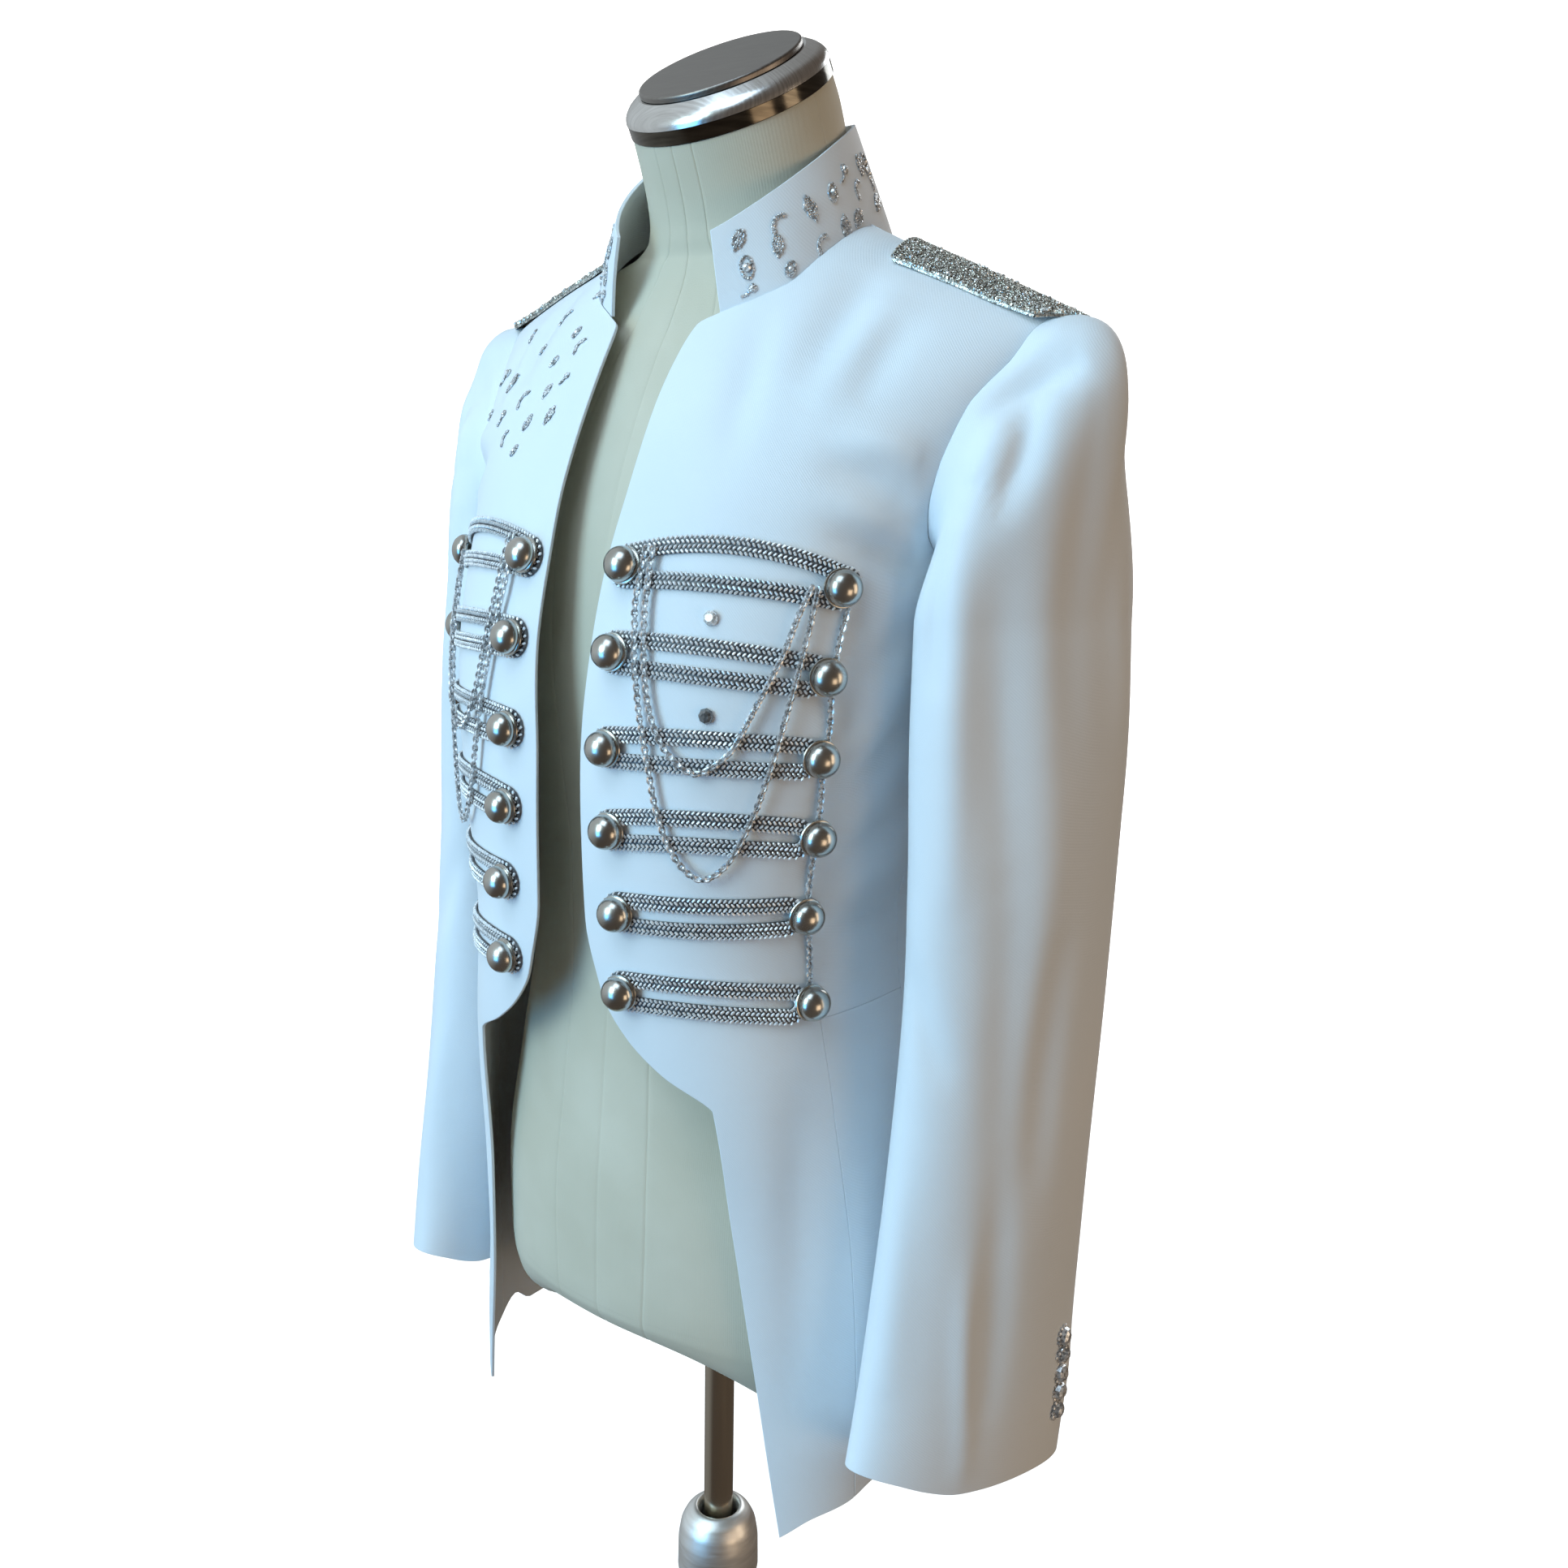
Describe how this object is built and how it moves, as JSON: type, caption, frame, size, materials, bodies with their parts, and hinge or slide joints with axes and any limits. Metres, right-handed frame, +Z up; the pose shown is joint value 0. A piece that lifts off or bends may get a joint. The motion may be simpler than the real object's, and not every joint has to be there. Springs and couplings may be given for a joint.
{
  "type": "military-style blazer on a dress form",
  "caption": "Open military-style blazer with looped braid, ball buttons, chains and epaulettes, on a limbless dress form with a metal stand.",
  "frame": {"origin": "centre of the stand base's underside, on the axis of its pole", "axes": "+Z up along the pole, -Y towards the blazer's front, +X towards the wearer's left"},
  "size_m": [0.4718, 0.34, 1.5184],
  "materials": {
    "white_suiting": "matt white twill with a cool cast",
    "glitter": "silver glitter cloth",
    "silver_braid": "knitted metallic silver cord",
    "pewter": "satin silver",
    "chain_steel": "fine bright chain",
    "form_linen": "stretched cream cloth",
    "brushed_bronze": "brushed, brownish grey",
    "satin_silver": "satin",
    "dark_chrome": "polished dark",
    "brushed_steel": "brushed, warm"
  },
  "bodies": {
    "root": {"front_left": "white_suiting", "skirt_left": "white_suiting", "back_left": "white_suiting", "sleeve_left": "white_suiting", "front_right": "white_suiting", "skirt_right": "white_suiting", "back_right": "white_suiting", "sleeve_right": "white_suiting", "collar": "white_suiting", "epaulette_left": "glitter", "epaulette_right": "glitter", "braid_left_1": "silver_braid", "braid_left_2": "silver_braid", "braid_left_3": "silver_braid", "braid_left_4": "silver_braid", "braid_left_5": "silver_braid", "braid_left_6": "silver_braid", "braid_right_1": "silver_braid", "braid_right_2": "silver_braid", "braid_right_3": "silver_braid", "braid_right_4": "silver_braid", "braid_right_5": "silver_braid", "braid_right_6": "silver_braid", "button_left_inner_1": "pewter", "button_left_inner_2": "pewter", "button_left_inner_3": "pewter", "button_left_inner_4": "pewter", "button_left_inner_5": "pewter", "button_left_inner_6": "pewter", "button_left_outer_1": "pewter", "button_left_outer_2": "pewter", "button_left_outer_3": "pewter", "button_left_outer_4": "pewter", "button_left_outer_5": "pewter", "button_left_outer_6": "pewter", "button_right_inner_1": "pewter", "button_right_inner_2": "pewter", "button_right_inner_3": "pewter", "button_right_inner_4": "pewter", "button_right_inner_5": "pewter", "button_right_inner_6": "pewter", "button_right_outer_1": "pewter", "button_right_outer_2": "pewter", "button_right_outer_3": "pewter", "button_right_outer_4": "pewter", "button_right_outer_5": "pewter", "button_right_outer_6": "pewter", "drop_chain_left": "chain_steel", "drop_chain_right": "chain_steel", "swag_left_short": "chain_steel", "swag_left_long": "chain_steel", "swag_right_short": "chain_steel", "swag_right_long": "chain_steel", "form_torso": "form_linen", "neck_plate": "brushed_bronze", "neck_cap": "satin_silver", "neck_band": "dark_chrome", "stand_pole": "brushed_steel", "stand_hub": "dark_chrome", "stand_base": "dark_chrome"}
  },
  "joints": []
}
